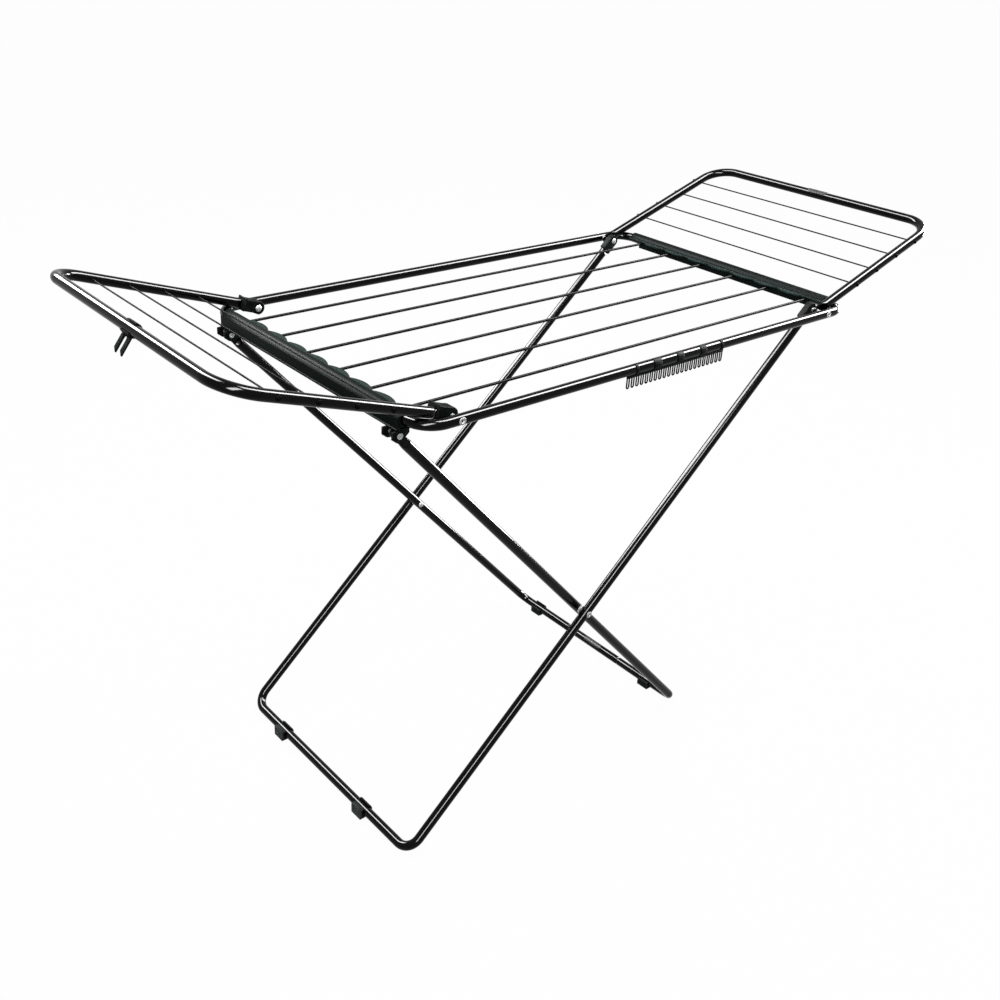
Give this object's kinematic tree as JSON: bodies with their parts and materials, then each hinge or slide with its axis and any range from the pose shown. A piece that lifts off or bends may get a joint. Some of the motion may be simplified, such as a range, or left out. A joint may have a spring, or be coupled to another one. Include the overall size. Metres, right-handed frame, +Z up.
{
  "type": "folding clothes airer",
  "caption": "Free-standing folding clothes airer with crossed tube legs, a fixed rod rack, fold-over wings with drying lines and a clip-on sock comb.",
  "frame": {"origin": "middle of the footprint on the floor plane, under the centre of the rack", "axes": "X along the rack with the left wing at -X, Y across it, Z up"},
  "size_m": [1.466, 0.5642, 0.8963],
  "materials": {
    "tube_coat": "gloss black powder coat on steel tube",
    "rod_coat": "satin black coated steel rod",
    "line_coat": "black coated steel wire",
    "plastic": "dark grey-green moulded plastic",
    "badge": "blank oval badge, dark grey plastic",
    "white_nylon": "white nylon washer",
    "sleeve_steel": "plain steel sleeve",
    "zinc": "bright zinc plated rivet"
  },
  "bodies": {
    "main_frame": {"frame_tube_near": "tube_coat", "frame_tube_far": "tube_coat", "frame_sleeves": "sleeve_steel", "left_end_strip": "plastic", "right_end_strip": "plastic", "drying_rod_1": "rod_coat", "drying_rod_2": "rod_coat", "drying_rod_3": "rod_coat", "drying_rod_4": "rod_coat", "drying_rod_5": "rod_coat", "drying_rod_6": "rod_coat", "left_wing_rivets": "zinc", "right_wing_rivets": "zinc", "leg_clip_near": "plastic", "leg_clip_far": "plastic", "leg_clip_pins": "zinc", "sock_comb": "plastic"},
    "left_wing": {"left_wing_tube": "tube_coat", "left_wing_line_1": "line_coat", "left_wing_line_2": "line_coat", "left_wing_line_3": "line_coat", "left_wing_line_4": "line_coat", "left_wing_stops": "line_coat", "left_wing_hinge_near": "plastic", "left_wing_hinge_far": "plastic", "fork_clip": "plastic"},
    "right_wing": {"right_wing_tube": "tube_coat", "right_wing_line_1": "line_coat", "right_wing_line_2": "line_coat", "right_wing_line_3": "line_coat", "right_wing_line_4": "line_coat", "right_wing_stops": "line_coat", "wing_badge": "badge"},
    "outer_leg": {"outer_leg_tube": "tube_coat", "outer_leg_cap_near": "plastic", "outer_leg_cap_far": "plastic", "leg_rivets": "zinc", "leg_spacers": "white_nylon", "outer_foot_near": "plastic", "outer_foot_far": "plastic"},
    "inner_leg": {"inner_leg_tube_near": "tube_coat", "inner_leg_tube_far": "tube_coat", "inner_leg_sleeve": "sleeve_steel", "inner_leg_badge": "badge", "inner_foot_near": "plastic", "inner_foot_far": "plastic"}
  },
  "joints": [
    {"name": "leg_fold", "type": "hinge", "parent": "outer_leg", "child": "inner_leg", "pos_m": [-0.08382, 0, 0.33723], "axis": [0, -1, 0], "range_deg": [0, 86]},
    {"name": "frame_fold", "type": "hinge", "parent": "outer_leg", "child": "main_frame", "pos_m": [0.4, 0, 0.779], "axis": [0, -1, 0], "range_deg": [0, 38.7]},
    {"name": "left_wing_fold", "type": "hinge", "parent": "main_frame", "child": "left_wing", "pos_m": [-0.4, 0, 0.779], "axis": [0, 1, 0], "range_deg": [0, 153]},
    {"name": "right_wing_fold", "type": "hinge", "parent": "main_frame", "child": "right_wing", "pos_m": [0.4, 0, 0.779], "axis": [0, -1, 0], "range_deg": [0, 153]}
  ],
  "couplings": [
    {"joint": "frame_fold", "follows": "leg_fold", "ratio": 0.45}
  ]
}
